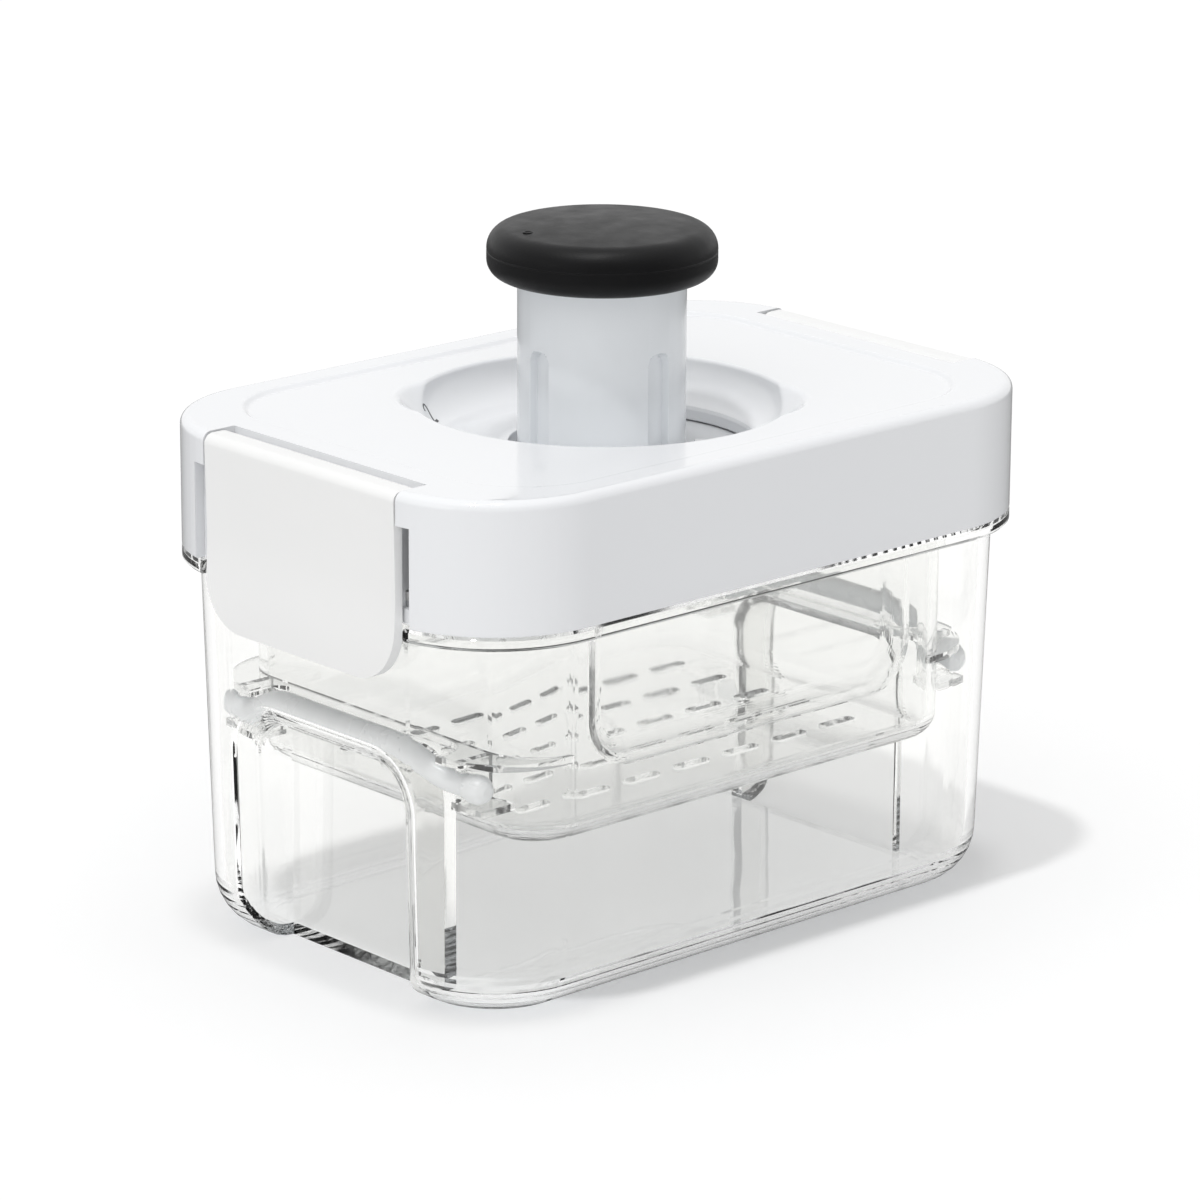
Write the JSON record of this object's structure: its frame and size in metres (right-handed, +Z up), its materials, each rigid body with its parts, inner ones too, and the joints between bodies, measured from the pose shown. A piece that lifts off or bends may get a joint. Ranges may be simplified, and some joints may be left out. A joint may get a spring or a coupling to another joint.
{
  "type": "tofu press",
  "caption": "Kitchen press: a clear basket hung on silicone bands in a clear drip container, under a latched white lid with a push-and-turn plunger.",
  "frame": {"origin": "middle of the container's base, on the surface it stands on", "axes": "+X along the press to the right-hand latch, +Y across it to the back, +Z up along the plunger"},
  "size_m": [0.1868, 0.1264, 0.167],
  "materials": {
    "clear_plastic": "polished, water clear",
    "clear_basket": "polished, water clear",
    "silicone": "satin, milky translucent",
    "seal_silicone": "satin, milky translucent",
    "gloss_white": "high gloss white",
    "column_white": "semi-gloss white",
    "latch_white": "satin white",
    "inner_white": "satin white",
    "plate_white": "satin white",
    "collar_grey": "satin light grey",
    "soft_black": "soft-touch matt black",
    "steel": "brushed stainless steel"
  },
  "bodies": {
    "container_and_lid": {"outer_container": "clear_plastic", "lid_cover": "gloss_white", "lid_liner": "inner_white", "lid_seal": "seal_silicone", "hinge_pin_left": "steel", "hinge_pin_right": "steel", "collar_retainer": "inner_white", "collar_screws": "steel"},
    "hanging_basket": {"inner_basket": "clear_basket", "silicone_band_left": "silicone", "silicone_band_right": "silicone"},
    "left_latch": {"latch_left": "latch_white"},
    "right_latch": {"latch_right": "latch_white"},
    "turning_collar": {"twist_collar": "collar_grey"},
    "pressing_plate": {"press_plate": "plate_white", "swivel_ring": "inner_white", "swivel_screws": "steel"},
    "plunger": {"plunger_column": "column_white", "column_foot": "inner_white", "knob_core": "column_white", "knob_grip": "soft_black", "knob_screw": "steel"}
  },
  "joints": [
    {"name": "press_slide", "type": "slide", "parent": "container_and_lid", "child": "pressing_plate", "axis": [0, 0, -1], "range_m": [0, 0.027]},
    {"name": "knob_twist", "type": "hinge", "parent": "pressing_plate", "child": "plunger", "pos_m": [0, 0, 0.094], "axis": [0, 0, 1], "range_deg": [-32, 148]},
    {"name": "collar_twist", "type": "hinge", "parent": "container_and_lid", "child": "turning_collar", "pos_m": [0, 0, 0.1094], "axis": [0, 0, 1], "range_deg": [-32, 148]},
    {"name": "latch_left_swing", "type": "hinge", "parent": "container_and_lid", "child": "left_latch", "pos_m": [-0.0878, 0, 0.1211], "axis": [0, 1, 0], "range_deg": [0, 90]},
    {"name": "latch_right_swing", "type": "hinge", "parent": "container_and_lid", "child": "right_latch", "pos_m": [0.0878, 0, 0.1211], "axis": [0, -1, 0], "range_deg": [0, 90]},
    {"name": "basket_slide", "type": "slide", "parent": "container_and_lid", "child": "hanging_basket", "axis": [0, 0, -1], "range_m": [0, 0.012], "stiffness_N_per_m": 3000, "springref_m": -0.002, "deforming": ["silicone_band_left", "silicone_band_right"]}
  ],
  "couplings": [
    {"joint": "collar_twist", "follows": "knob_twist", "ratio": 1}
  ]
}
